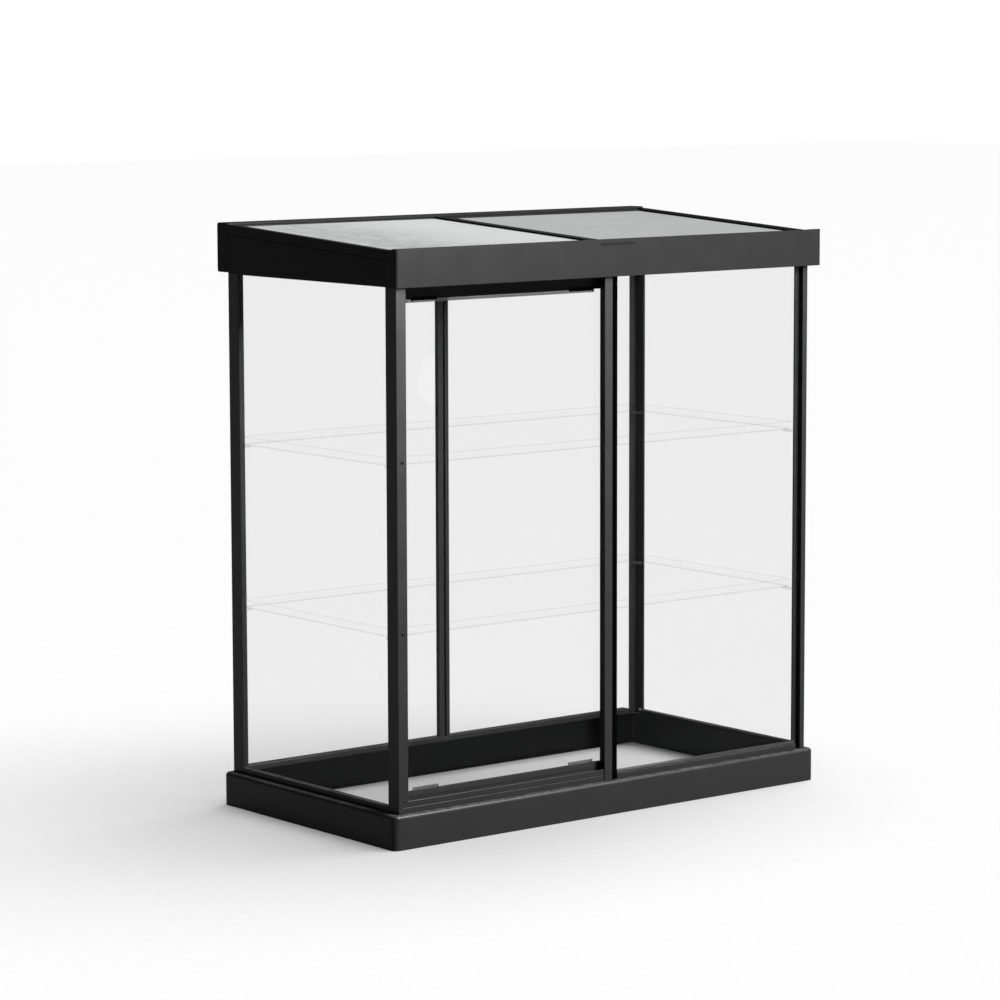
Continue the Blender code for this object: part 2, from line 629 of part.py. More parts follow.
def build_door():
    """The sliding door: a pane between two rails, with its shoes and a clear strip down its free edge."""
    black = "coated_aluminium"
    pivot = bpy.data.objects.new("door_slide_axis", None)
    bpy.context.collection.objects.link(pivot)
    pivot.location = place((DOOR_LEFT + DOOR_RIGHT) / 2, (DOOR_RAIL_FRONT + DOOR_RAIL_BACK) / 2, DOOR_BOTTOM)
    bpy.context.view_layer.update()
    width = (DOOR_LEFT, DOOR_RIGHT)
    glass = (DOOR_GLASS_FRONT, DOOR_GLASS_FRONT + GLASS)
    slot = (glass[0] - GAP, glass[1] + GAP)
    heights = (DOOR_SLOT_BOTTOM + GAP, DOOR_SLOT_TOP - GAP)
    block("door_glass", width, glass, heights, "clear_glass", pivot)
    outline = [
        (DOOR_FOOT_FRONT, DOOR_BOTTOM), (DOOR_FOOT_BACK, DOOR_BOTTOM), (DOOR_FOOT_BACK, DOOR_BOTTOM_STEP),
        (DOOR_RAIL_BACK, DOOR_BOTTOM_STEP), (DOOR_RAIL_BACK, DOOR_BOTTOM_RAIL_TOP),
        (slot[1], DOOR_BOTTOM_RAIL_TOP),
        (slot[1], DOOR_SLOT_BOTTOM), (slot[0], DOOR_SLOT_BOTTOM), (slot[0], DOOR_BOTTOM_RAIL_TOP),
        (DOOR_RAIL_FRONT, DOOR_BOTTOM_RAIL_TOP), (DOOR_RAIL_FRONT, DOOR_BOTTOM_STEP),
        (DOOR_FOOT_FRONT, DOOR_BOTTOM_STEP)]
    extrude("door_bottom_rail", outline, "x", *width, black, pivot)
    outline = [
        (DOOR_RAIL_FRONT, DOOR_TOP_RAIL_BOTTOM), (slot[0], DOOR_TOP_RAIL_BOTTOM), (slot[0], DOOR_SLOT_TOP),
        (slot[1], DOOR_SLOT_TOP), (slot[1], DOOR_TOP_RAIL_BOTTOM), (DOOR_RAIL_BACK, DOOR_TOP_RAIL_BOTTOM),
        (DOOR_RAIL_BACK, DOOR_TOP), (DOOR_RAIL_FRONT, DOOR_TOP)]
    extrude("door_top_rail", outline, "x", *width, black, pivot)
    trim = (DOOR_RAIL_FRONT + TRIM_SETBACK, DOOR_GLASS_FRONT - GAP)
    strip = (DOOR_RIGHT - EDGE_STRIP, DOOR_RIGHT)
    heights = (DOOR_BOTTOM_RAIL_TOP + GAP, DOOR_TOP_RAIL_BOTTOM - GAP)
    block("door_edge_strip", strip, trim, heights, "clear_plastic", pivot)
    seal = (DOOR_LEFT, strip[0] - GAP)
    block("door_top_seal", seal, trim, (SEAL_BOTTOM, DOOR_TOP_RAIL_BOTTOM - GAP), "clear_plastic", pivot)
    names = ("left", "right")
    for name, left in zip(names, SHOE_LEFTS):
        xs = (left, min(left + SHOE_WIDTH, strip[0] - GAP))
        top = (TOP_SHOE_BOTTOM, TOP_SHOE_BOTTOM + SHOE_HEIGHT)
        face = DOOR_RAIL_FRONT - GAP
        block(f"door_shoe_top_{name}", xs, (face - TOP_SHOE_DEPTH, face), top, "black_rubber", pivot)
        bottom = (DOOR_BOTTOM_RAIL_TOP + GAP, DOOR_BOTTOM_RAIL_TOP + GAP + SHOE_HEIGHT)
        block(f"door_shoe_bottom_{name}", xs, trim, bottom, "clear_plastic", pivot)


def build_tracks():
    black = "coated_aluminium"
    span = (WALL_LEFT + FRONT_POST_FACE + GAP, WALL_RIGHT - RIGHT_POST_FLANGE - GAP)
    depth = (TRACK_FRONT, TRACK_BACK)
    block("door_lower_track", span, depth, (PLINTH_HEIGHT + GAP, LOWER_TRACK_TOP), black)
    block("door_upper_track", span, depth, (UPPER_TRACK_BOTTOM, UPPER_TRACK_TOP), black)


def build_shelves():
    """Two clear trays turned upside down: a sheet with a rim down all round, resting on eight brackets."""
    for level, top in SHELF_TOPS.items():
        xs = (SHELF_LEFT, SHELF_RIGHT)
        ys = (SHELF_FRONT, SHELF_BACK)
        shelf = block(f"shelf_{level}", xs, ys, (top - SHELF_HEIGHT, top), "clear_shelf")
        hollow = block(
            "hollow", (xs[0] + SHELF_RIM, xs[1] - SHELF_RIM), (ys[0] + SHELF_RIM, ys[1] - SHELF_RIM),
            (top - SHELF_HEIGHT - OVERCUT, top - SHELF_SHEET), "clear_shelf")
        combine(shelf, hollow, "DIFFERENCE")
        soften(shelf, SOFT_SHELF)
        under = top - SHELF_HEIGHT - GAP
        heights = (under - BRACKET_HEIGHT, under)
        left = WALL_LEFT + FRONT_POST_FOOT + GAP
        left_xs = (left, left + BRACKET_WIDTH)
        front_right = WALL_RIGHT - RIGHT_POST_SIDE - GAP
        back_right = WALL_RIGHT - BACK_RIGHT_SIDE - GAP
        inner = SHELF_RIGHT - BRACKET_WIDTH
        clear = "clear_plastic"
        block(f"bracket_{level}_front_left", left_xs, FRONT_BRACKET, heights, clear)
        block(f"bracket_{level}_back_left", left_xs, BACK_BRACKET, heights, clear)
        block(f"bracket_{level}_front_right", (inner, front_right), FRONT_BRACKET, heights, clear)
        block(f"bracket_{level}_back_right", (inner, back_right), BACK_BRACKET, heights, clear)


def main():
    clear_scene()
    build_plinth()
    build_sills()
    build_posts()
    build_glass()
    build_roof()
    build_hatch()
    build_door()
    build_tracks()
    build_shelves()


main()
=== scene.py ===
"""Looks of the glazed lean-to cabinet, laid out as a sidebar add-on and run as a script."""

import math

import bpy
import numpy as np
from bpy.props import FloatProperty, FloatVectorProperty, IntProperty, PointerProperty
from mathutils import Matrix, Vector


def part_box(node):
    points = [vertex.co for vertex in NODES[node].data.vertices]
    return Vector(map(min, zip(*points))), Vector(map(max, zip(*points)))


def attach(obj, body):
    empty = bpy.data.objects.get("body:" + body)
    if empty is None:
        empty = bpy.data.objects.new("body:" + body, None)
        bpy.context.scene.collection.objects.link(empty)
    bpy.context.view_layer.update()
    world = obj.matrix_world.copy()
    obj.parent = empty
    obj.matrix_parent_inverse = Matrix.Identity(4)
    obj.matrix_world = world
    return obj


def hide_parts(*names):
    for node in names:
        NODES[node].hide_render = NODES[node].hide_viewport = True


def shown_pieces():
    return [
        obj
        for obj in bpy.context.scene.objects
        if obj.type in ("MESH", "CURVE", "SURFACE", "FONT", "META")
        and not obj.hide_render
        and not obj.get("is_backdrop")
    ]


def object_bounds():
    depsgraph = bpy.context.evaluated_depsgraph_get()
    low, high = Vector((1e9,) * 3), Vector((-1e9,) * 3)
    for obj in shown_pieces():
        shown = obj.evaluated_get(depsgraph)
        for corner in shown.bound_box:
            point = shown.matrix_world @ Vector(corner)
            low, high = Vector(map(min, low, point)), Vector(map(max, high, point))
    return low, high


bl_info = {
    "name": "Glazed Lean-to Cabinet",
    "version": (1, 0, 0),
    "blender": (4, 5, 0),
    "location": "3D View > Sidebar > Cabinet",
    "description": "Coats, glazes, ribs and screws together a glazed cabinet with a sliding door",
    "category": "Object",
}

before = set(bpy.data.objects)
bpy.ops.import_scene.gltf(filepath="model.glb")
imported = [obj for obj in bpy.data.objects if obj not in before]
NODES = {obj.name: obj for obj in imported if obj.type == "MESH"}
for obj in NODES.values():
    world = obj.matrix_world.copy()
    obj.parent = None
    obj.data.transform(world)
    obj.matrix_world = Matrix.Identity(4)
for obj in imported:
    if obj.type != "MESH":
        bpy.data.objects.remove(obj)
CAD_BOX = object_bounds()


OUT_OF_THE_KEY = (
    "plinth_back", "front_head_rail", "door_top", "door_upper", "door_glass", "door_edge", "door_shoe",
    "front_glass", "side_glass", "back_glass", "shelf_", "bracket_", "roof_panel_fixed", "hatch_panel",
    "mullion_gasket")
GAP = 0.0003
RIB_STEPS = 8
SLOPE_STEPS = 9
END_REACH = 0.001
HATCH_DARKENING = 0.68
HATCH_RIB_SHARE = 0.35
BEAD_GAP = 0.0004
BEAD_DEPTH = 0.0042
BEAD_ROUND = 0.0014
UPPER_SCREW_RISE = 0.0125
LOWER_SCREW_RISE = 0.014
FRONT_LEFT_SCREW_IN = 0.015
FRONT_RIGHT_SCREW_IN = 0.0143
FRONT_RIGHT_SCREW_BACK = 0.0065
BACK_LEFT_SCREW_IN = 0.0182
BACK_RIGHT_SCREW_IN = 0.015
FOOT_RISE = 0.0045
RIGHT_FOOT_RISE = 0.0085
MIDDLE_FOOT_IN = 0.0235
RIGHT_FOOT_SIDE_IN = 0.005
RIGHT_FOOT_SIDE_BACK = 0.0101
BACK_FOOT_IN = 0.0183
FLOOR_HALF = 40.0
KEY_SIZE = 1.6
KEY_PLACE = (1.0, -3.2, 2.4)
KEY_TARGET = (0, 0, 1.0)
TOP_PLACE = (1.6, -0.6, 5.0)
TOP_SPREAD = math.radians(70)
SKY_ON_CABINET = 0.12
SKY_BEHIND = 1.02
LENS = 133.49
LENS_SHIFT = (-0.00006, -0.00182)
EYE_PLACE = (-5.6838, -7.0215, 1.8628)


def low(node):
    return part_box(node)[0]


def high(node):
    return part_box(node)[1]


class CoatSettings(bpy.types.PropertyGroup):
    """Powder coat on the aluminium frame."""

    colour: FloatVectorProperty(
        name="Colour", description="Colour of the coat", subtype="COLOR", min=0, max=1,
        default=(0.0030, 0.0030, 0.0031))
    roughness: FloatProperty(
        name="Roughness", description="How much the coat blurs a reflection",
        subtype="FACTOR", min=0, max=1, default=0.34)
    peel: FloatProperty(
        name="Orange peel", description="Depth of the coat's fine texture",
        subtype="FACTOR", min=0, max=1, default=0.10)
    # Upward faces are painted lighter by this amount: dust, and also a painted highlight of the light from
    # above.
    dust_and_sheen: FloatProperty(
        name="Dust", description="How much dust lies on upward faces", subtype="FACTOR", min=0, max=1,
        default=0.08)


class GlazingSettings(bpy.types.PropertyGroup):
    """Panes, shelves and clear strips."""

    tint: FloatVectorProperty(
        name="Tint", description="Colour that the glass adds", subtype="COLOR", min=0, max=1,
        default=(0.03, 0.032, 0.032))
    haze: FloatProperty(
        name="Near haze", description="Share of the view that one face of a front or left pane hides",
        subtype="FACTOR", min=0, max=1, default=0.058)
    far_haze: FloatProperty(
        name="Far haze", description="Share of the view that one face of a back or right pane hides",
        subtype="FACTOR", min=0, max=1, default=0.019)
    shelf_haze: FloatProperty(
        name="Shelf haze", description="Share of the view that one face of a shelf hides",
        subtype="FACTOR", min=0, max=1, default=0.006)
    shelf_rim: FloatProperty(
        name="Shelf edge", description="Share of the view that one edge line of a shelf's rim hides",
        subtype="FACTOR", min=0, max=1, default=0.10)
    bead_height: FloatProperty(
        name="Bead height", description="Height of the clear bead at the foot of the fixed pane",
        subtype="DISTANCE", unit="LENGTH", default=0.0085)


class RoofSettings(bpy.types.PropertyGroup):
    """Ribbed roof sheets."""

    pitch: FloatProperty(
        name="Rib pitch", description="Distance from one rib to the next",
        subtype="DISTANCE", unit="LENGTH", default=0.0100)
    depth: FloatProperty(
        name="Rib depth", description="Depth of the hollow between two ribs",
        subtype="DISTANCE", unit="LENGTH", default=0.0006)
    colour: FloatVectorProperty(
        name="Colour", description="Colour of the sheet", subtype="COLOR", min=0, max=1,
        default=(0.78, 0.785, 0.79))


class ScrewSettings(bpy.types.PropertyGroup):
    """Screws in the posts and at their feet."""

    diameter: FloatProperty(
        name="Head diameter", description="Diameter of a screw head", subtype="DISTANCE", unit="LENGTH",
        default=0.0080)
    height: FloatProperty(
        name="Head height", description="How far a head stands out", subtype="DISTANCE", unit="LENGTH",
        default=0.0016)
    rings: IntProperty(
        name="Rings", description="Rings of faces from the middle of a head to its rim",
        min=4, max=16, default=8)


class StudioSettings(bpy.types.PropertyGroup):
    """Camera, floor and lights."""

    azimuth: FloatProperty(
        name="Azimuth", description="Turn of the camera to the left of the cabinet's front",
        subtype="ANGLE", unit="ROTATION", default=math.radians(-38.6226))
    pitch: FloatProperty(
        name="Pitch", description="How far the camera looks down", subtype="ANGLE", unit="ROTATION",
        default=math.radians(7.1245))
    roll: FloatProperty(
        name="Roll", description="Tilt of the camera", subtype="ANGLE", unit="ROTATION",
        default=math.radians(-0.1488))
    key: FloatProperty(
        name="Key light", description="Power of the soft light at the front right",
        subtype="POWER", unit="POWER", default=1900)
    top: FloatProperty(
        name="Top light", description="Strength of the broad light from above", min=0, default=3.2)
    clear_layers: IntProperty(
        name="Clear layers", description="How many faces of glass the light may pass in a row",
        min=8, max=64, default=32)


# Meshes


def mesh_object(name, points, faces, smooth=True):
    """A mesh object at the origin from an array of points and a list or array of faces."""
    mesh = bpy.data.meshes.new(name)
    mesh.from_pydata(np.asarray(points, float).tolist(), [], [list(face) for face in faces])
    mesh.update()
    if smooth:
        mesh.shade_smooth()
        mesh.set_sharp_from_angle(angle=math.radians(35))
    made = bpy.data.objects.new(name, mesh)
    bpy.context.scene.collection.objects.link(made)
    return made


def loop_faces(rows, columns):
    """Quads between neighbouring rows of a grid whose rows are closed loops of points."""
    row, column = np.meshgrid(np.arange(rows - 1), np.arange(columns), indexing="ij")
    following = row + 1
    beside = (column + 1) % columns
    quads = np.stack([row * columns + column, row * columns + beside,
                      following * columns + beside, following * columns + column], axis=-1)
    return quads.reshape(-1, 4)


def ribbed_sheet(name, node, pitch, depth):
    """A sheet in place of a roof panel.

    Across the sheet its top is at t - d * sin(pi x / p)^4 and its bottom at b + d * sin(pi x / p)^4, where t and
    b are the panel's two faces, d is the rib depth and p the pitch. That section is carried along y on the
    panel's slope, so that its height rises in proportion to y.
    """
    start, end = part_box(node)
    coords = np.array([v.co for v in NODES[node].data.vertices])
    front = coords[coords[:, 1] < start.y + END_REACH, 2]
    back = coords[coords[:, 1] > end.y - END_REACH, 2]
    ribs = int((end.x - start.x) / pitch)
    across = np.linspace(start.x, end.x, ribs * RIB_STEPS + 1)
    hollow = depth * np.sin(np.pi * (across - start.x) / ((end.x - start.x) / ribs)) ** 4
    section_x = np.concatenate([across, across[::-1]])
    along = np.linspace(0, 1, SLOPE_STEPS)
    top = (front.max() + (back.max() - front.max()) * along)[:, None] - hollow[None, :]
    bottom = (front.min() + (back.min() - front.min()) * along)[:, None] + hollow[None, ::-1]
    z = np.concatenate([top, bottom], axis=1)
    x = np.broadcast_to(section_x, z.shape)
    y = np.broadcast_to((start.y + (end.y - start.y) * along)[:, None], z.shape)
    points = np.stack([x, y, z], axis=-1).reshape(-1, 3)
    count = len(section_x)
    faces = loop_faces(len(along), count)[:, ::-1].tolist()
    half = count // 2
    strip = np.arange(half - 1)
    cap = np.stack([strip, strip + 1, count - 2 - strip, count - 1 - strip], axis=-1)
    faces += cap.tolist()
    faces += (cap[:, ::-1] + (len(along) - 1) * count).tolist()
    return mesh_object(name, points, faces)


def turned_screw(name, place, outward, diameter, height, rings):
    """A screw head with a cross recess, standing on a face.

    The head is a grid of angle a and radius r. Its height over the face is h * sqrt(1 - 0.9 (r/R)^2), less a
    cross-shaped hollow that is deepest at the middle and ends at 0.55 R.
    """
    outward = np.array(outward, float)
    aside = np.cross(outward, [0, 0, 1]) if abs(outward[2]) < 0.9 else np.array([1.0, 0, 0])
    aside = aside / np.linalg.norm(aside)
    upward = np.cross(outward, aside)
    radius = diameter / 2
    angles = np.linspace(0, 2 * np.pi, 32, endpoint=False)
    share = np.linspace(0, 1, rings)[1:]
    a, r = np.meshgrid(angles, share)
    rise = height * np.sqrt(1 - 0.9 * r ** 2)
    across = np.minimum(abs(np.sin(a + 0.4)), abs(np.cos(a + 0.4))) * r
    recess = np.clip(1 - across / 0.14, 0, 1) * np.clip(1 - r / 0.55, 0, 1) ** 0.5
    rise = rise - 0.8 * height * recess
    rise = np.concatenate([rise, np.zeros((1, len(angles)))])
    r = np.concatenate([r, np.full((1, len(angles)), 1.0)])
    a = np.concatenate([a, angles[None, :]])
    flat = (r * radius)[..., None] * (np.cos(a)[..., None] * aside + np.sin(a)[..., None] * upward)
    points = np.array(place, float) + flat + rise[..., None] * outward
    points = points.reshape(-1, 3)
    middle = np.array(place, float) + 0.25 * height * outward
    points = np.concatenate([points, [middle], [np.array(place, float)]])
    count = len(angles)
    faces = loop_faces(rings, count).tolist()
    i = np.arange(count)
    j = (i + 1) % count
    faces += np.stack([j, i, np.full(count, len(points) - 2)], axis=-1).tolist()
    last = (rings - 1) * count
    faces += np.stack([last + i, last + j, np.full(count, len(points) - 1)], axis=-1).tolist()
    made = mesh_object(name, points, faces)
    turn_outward(made)
    return made


def turn_outward(made):
    """Turns the faces of a closed mesh outwards, by the sign of the volume that they enclose."""
    mesh = made.data
    mesh.calc_loop_triangles()
    corners = np.empty(len(mesh.loop_triangles) * 3, np.int32)
    mesh.loop_triangles.foreach_get("vertices", corners)
    points = np.empty(len(mesh.vertices) * 3)
    mesh.vertices.foreach_get("co", points)
    triangles = points.reshape(-1, 3)[corners].reshape(-1, 3, 3) - points.reshape(-1, 3).mean(axis=0)
    volume = np.linalg.det(triangles).sum()
    if volume < 0:
        mesh.flip_normals()


def rounded_strip(name, start, end, corner):
    """A bar along x whose section is a rectangle with its top corners rounded by quarter circles."""
    turn = np.linspace(0, np.pi / 2, 6)
    crest = end[2] - corner
    front = np.stack([start[1] + corner - corner * np.cos(turn), crest + corner * np.sin(turn)], axis=-1)
    rear = np.stack([end[1] - corner + corner * np.sin(turn), crest + corner * np.cos(turn)], axis=-1)
    section = np.concatenate([[[start[1], start[2]]], front, rear, [[end[1], start[2]]]])
    count = len(section)
    xs = np.repeat([start[0], end[0]], count)
    points = np.column_stack([xs, np.tile(section, (2, 1))])
    faces = loop_faces(2, count).tolist()
    faces.append(list(range(count - 1, -1, -1)))
    faces.append(list(range(count, 2 * count)))
    made = mesh_object(name, points, faces)
    turn_outward(made)
    return made


# Materials


def group_tree(name, inputs, outputs):
    tree = bpy.data.node_groups.new(name, "ShaderNodeTree")
    for label, kind, value in inputs:
        socket = tree.interface.new_socket(label, in_out="INPUT", socket_type=kind)
        if value is not None:
            socket.default_value = value
    for label, kind in outputs:
        tree.interface.new_socket(label, in_out="OUTPUT", socket_type=kind)
    return tree, tree.nodes.new("NodeGroupInput"), tree.nodes.new("NodeGroupOutput")


def orange_peel_group():
    """Fine lumps of a sprayed coat: two sizes of noise added, and a slow change of gloss."""
    tree, given, out = group_tree(
        "orange peel", [("Vector", "NodeSocketVector", None), ("Size", "NodeSocketFloat", 900.0)],
        [("Height", "NodeSocketFloat"), ("Gloss change", "NodeSocketFloat")])
    nodes, links = tree.nodes, tree.links
    fine = nodes.new("ShaderNodeTexNoise")
    fine.inputs["Detail"].default_value = 2
    slow = nodes.new("ShaderNodeTexNoise")
    slow.inputs["Scale"].default_value = 14
    slow.inputs["Detail"].default_value = 4
    links.new(given.outputs["Vector"], fine.inputs["Vector"])
    links.new(given.outputs["Size"], fine.inputs["Scale"])
    links.new(given.outputs["Vector"], slow.inputs["Vector"])
    links.new(fine.outputs["Fac"], out.inputs["Height"])
    links.new(slow.outputs["Fac"], out.inputs["Gloss change"])
    return tree


def dust_and_sheen_group():
    """A mask of settled dust and painted sheen: faces that look up are painted lighter, partly as dust and
    partly as a painted highlight of the light from above, broken up by noise at two sizes.
    """
    tree, given, out = group_tree(
        "settled dust", [("Vector", "NodeSocketVector", None), ("Amount", "NodeSocketFloat", 0.3)],
        [("Mask", "NodeSocketFloat")])
    nodes, links = tree.nodes, tree.links
    geometry = nodes.new("ShaderNodeNewGeometry")
    split = nodes.new("ShaderNodeSeparateXYZ")
    upward = nodes.new("ShaderNodeMapRange")
    upward.inputs["From Min"].default_value = 0.5
    noise = nodes.new("ShaderNodeTexNoise")
    noise.inputs["Scale"].default_value = 45
    noise.inputs["Detail"].default_value = 8
    noise.inputs["Roughness"].default_value = 0.7
    broken = nodes.new("ShaderNodeMapRange")
    broken.inputs["From Min"].default_value = 0.35
    broken.inputs["From Max"].default_value = 0.75
    both = nodes.new("ShaderNodeMath")
    both.operation = "MULTIPLY"
    scaled = nodes.new("ShaderNodeMath")
    scaled.operation = "MULTIPLY"
    links.new(geometry.outputs["Normal"], split.inputs[0])
    links.new(split.outputs["Z"], upward.inputs["Value"])
    links.new(given.outputs["Vector"], noise.inputs["Vector"])
    links.new(noise.outputs["Fac"], broken.inputs["Value"])
    links.new(upward.outputs["Result"], both.inputs[0])
    links.new(broken.outputs["Result"], both.inputs[1])
    links.new(both.outputs[0], scaled.inputs[0])
    links.new(given.outputs["Amount"], scaled.inputs[1])
    links.new(scaled.outputs[0], out.inputs["Mask"])
    return tree


def smudge_group():
    """Wiping marks on glass: noise stretched along one direction, for the roughness."""
    tree, given, out = group_tree(
        "wiping marks", [("Vector", "NodeSocketVector", None), ("Scale", "NodeSocketFloat", 3.0)],
        [("Mask", "NodeSocketFloat")])
    nodes, links = tree.nodes, tree.links
    stretch = nodes.new("ShaderNodeMapping")
    stretch.inputs["Rotation"].default_value = (0.3, 0.5, 0.2)
    stretch.inputs["Scale"].default_value = (1.0, 3.0, 0.6)
    noise = nodes.new("ShaderNodeTexNoise")
    noise.inputs["Detail"].default_value = 5
    noise.inputs["Distortion"].default_value = 0.6
    contrast = nodes.new("ShaderNodeMapRange")
    contrast.inputs["From Min"].default_value = 0.42
    contrast.inputs["From Max"].default_value = 0.72
    links.new(given.outputs["Vector"], stretch.inputs["Vector"])
    links.new(stretch.outputs["Vector"], noise.inputs["Vector"])
    links.new(given.outputs["Scale"], noise.inputs["Scale"])
    links.new(noise.outputs["Fac"], contrast.inputs["Value"])
    links.new(contrast.outputs["Result"], out.inputs["Mask"])
    return tree


def webs_and_rib_shade_group():
    """Lines one pitch apart along x, each a third of a pitch wide and broken up a little by noise; they mark the
    sheet's webs and are also painted shade between the ribs.
    """
    tree, given, out = group_tree(
        "rib webs", [("Vector", "NodeSocketVector", None), ("Pitch", "NodeSocketFloat", 0.01)],
        [("Mask", "NodeSocketFloat")])
    nodes, links = tree.nodes, tree.links
    split = nodes.new("ShaderNodeSeparateXYZ")
    in_pitches = nodes.new("ShaderNodeMath")
    in_pitches.operation = "DIVIDE"
    nearest = nodes.new("ShaderNodeMath")
    nearest.operation = "PINGPONG"
    nearest.inputs[1].default_value = 0.5
    line = nodes.new("ShaderNodeMapRange")
    line.inputs["From Min"].default_value = 0.22
    line.inputs["From Max"].default_value = 0.10
    noise = nodes.new("ShaderNodeTexNoise")
    noise.inputs["Scale"].default_value = 30
    noise.inputs["Detail"].default_value = 3
    broken = nodes.new("ShaderNodeMath")
    broken.operation = "MULTIPLY"
    links.new(given.outputs["Vector"], split.inputs[0])
    links.new(split.outputs["X"], in_pitches.inputs[0])
    links.new(given.outputs["Pitch"], in_pitches.inputs[1])
    links.new(in_pitches.outputs[0], nearest.inputs[0])
    links.new(nearest.outputs[0], line.inputs["Value"])
    links.new(given.outputs["Vector"], noise.inputs["Vector"])
    links.new(line.outputs["Result"], broken.inputs[0])
    links.new(noise.outputs["Fac"], broken.inputs[1])
    links.new(broken.outputs[0], out.inputs["Mask"])
    return tree


def rim_lines_group():
    """Two lines 3 mm high, where an upright face meets the top and the bottom of a rim."""
    tree, given, out = group_tree(
        "rim lines", [("Vector", "NodeSocketVector", None), ("Middle", "NodeSocketFloat", 0.0),
                      ("Half", "NodeSocketFloat", 0.01)],
        [("Mask", "NodeSocketFloat")])
    nodes, links = tree.nodes, tree.links
    split = nodes.new("ShaderNodeSeparateXYZ")
    away, size, beyond, both = (nodes.new("ShaderNodeMath") for step in range(4))
    away.operation = "SUBTRACT"
    size.operation = "ABSOLUTE"
    beyond.operation = "SUBTRACT"
    both.operation = "MULTIPLY"
    line = nodes.new("ShaderNodeMapRange")
    line.inputs["From Min"].default_value = -0.0045
    line.inputs["From Max"].default_value = -0.0015
    geometry = nodes.new("ShaderNodeNewGeometry")
    facing = nodes.new("ShaderNodeSeparateXYZ")
    tilt = nodes.new("ShaderNodeMath")
    tilt.operation = "ABSOLUTE"
    upright = nodes.new("ShaderNodeMapRange")
    upright.inputs["From Min"].default_value = 0.9
    upright.inputs["From Max"].default_value = 0.5
    links.new(given.outputs["Vector"], split.inputs[0])
    links.new(split.outputs["Z"], away.inputs[0])
    links.new(given.outputs["Middle"], away.inputs[1])
    links.new(away.outputs[0], size.inputs[0])
    links.new(size.outputs[0], beyond.inputs[0])
    links.new(given.outputs["Half"], beyond.inputs[1])
    links.new(beyond.outputs[0], line.inputs["Value"])
    links.new(geometry.outputs["Normal"], facing.inputs[0])
    links.new(facing.outputs["Z"], tilt.inputs[0])
    links.new(tilt.outputs[0], upright.inputs["Value"])
    links.new(line.outputs["Result"], both.inputs[0])
    links.new(upright.outputs["Result"], both.inputs[1])
    links.new(both.outputs[0], out.inputs["Mask"])
    return tree


def shared_group(name):
    makers = {"orange peel": orange_peel_group, "settled dust": dust_and_sheen_group, "wiping marks": smudge_group,
              "rib webs": webs_and_rib_shade_group, "rim lines": rim_lines_group}
    return bpy.data.node_groups.get(name) or makers[name]()


def blank_material(name):
    made = bpy.data.materials.new(name)
    made.use_nodes = True
    nodes = made.node_tree.nodes
    shader = nodes["Principled BSDF"]
    place = nodes.new("ShaderNodeTexCoord")
    return made, nodes, made.node_tree.links, shader, place


def use_group(nodes, links, place, name, **values):
    node = nodes.new("ShaderNodeGroup")
    node.node_tree = shared_group(name)
    links.new(place.outputs["Object"], node.inputs["Vector"])
    for label, value in values.items():
        node.inputs[label.replace("_", " ")].default_value = value
    return node


def mixed_colour(nodes, links, mask, first, second):
    mix = nodes.new("ShaderNodeMix")
    mix.data_type = "RGBA"
    mix.inputs["A"].default_value = (*first, 1)
    mix.inputs["B"].default_value = (*second, 1)
    links.new(mask, mix.inputs["Factor"])
    return mix.outputs["Result"]


def ranged(nodes, links, value, lowest, highest):
    change = nodes.new("ShaderNodeMapRange")
    change.inputs["To Min"].default_value = lowest
    change.inputs["To Max"].default_value = highest
    links.new(value, change.inputs["Value"])
    return change.outputs["Result"]


def powder_coat(name, colour, roughness, peel, dust_and_sheen, specular=0.075):
    made, nodes, links, shader, place = blank_material(name)
    lumps = use_group(nodes, links, place, "orange peel", Size=900.0)
    # Upward faces are painted lighter: dust, and also a painted highlight of the light from above.
    dust_and_sheen_node = use_group(nodes, links, place, "settled dust", Amount=dust_and_sheen)
    dust_and_sheen_colour = tuple(0.22 + 0.5 * channel for channel in colour)
    links.new(mixed_colour(nodes, links, dust_and_sheen_node.outputs["Mask"], colour, dust_and_sheen_colour),
              shader.inputs["Base Color"])
    links.new(ranged(nodes, links, lumps.outputs["Gloss change"], roughness - 0.06, roughness + 0.10),
              shader.inputs["Roughness"])
    bump = nodes.new("ShaderNodeBump")
    bump.inputs["Strength"].default_value = peel
    bump.inputs["Distance"].default_value = 0.0004
    links.new(lumps.outputs["Height"], bump.inputs["Height"])
    links.new(bump.outputs["Normal"], shader.inputs["Normal"])
    shader.inputs["Specular IOR Level"].default_value = specular
    return made


def clear_material(name, tint, haze, roughness=0.03, edge=0.25):
    """A clear sheet: alpha rises from the haze towards the edge value where it is seen at a slant."""
    made, nodes, links, shader, place = blank_material(name)
    marks = use_group(nodes, links, place, "wiping marks", Scale=3.0)
    links.new(mixed_colour(nodes, links, marks.outputs["Mask"], tint, tuple(0.93 * c for c in tint)),
              shader.inputs["Base Color"])
    links.new(ranged(nodes, links, marks.outputs["Mask"], roughness, roughness + 0.06),
              shader.inputs["Roughness"])
    slant = nodes.new("ShaderNodeLayerWeight")
    slant.inputs["Blend"].default_value = 0.5
    steep = nodes.new("ShaderNodeMath")
    steep.operation = "POWER"
    steep.inputs[1].default_value = 5
    links.new(slant.outputs["Facing"], steep.inputs[0])
    links.new(ranged(nodes, links, steep.outputs[0], haze, edge), shader.inputs["Alpha"])
    return made


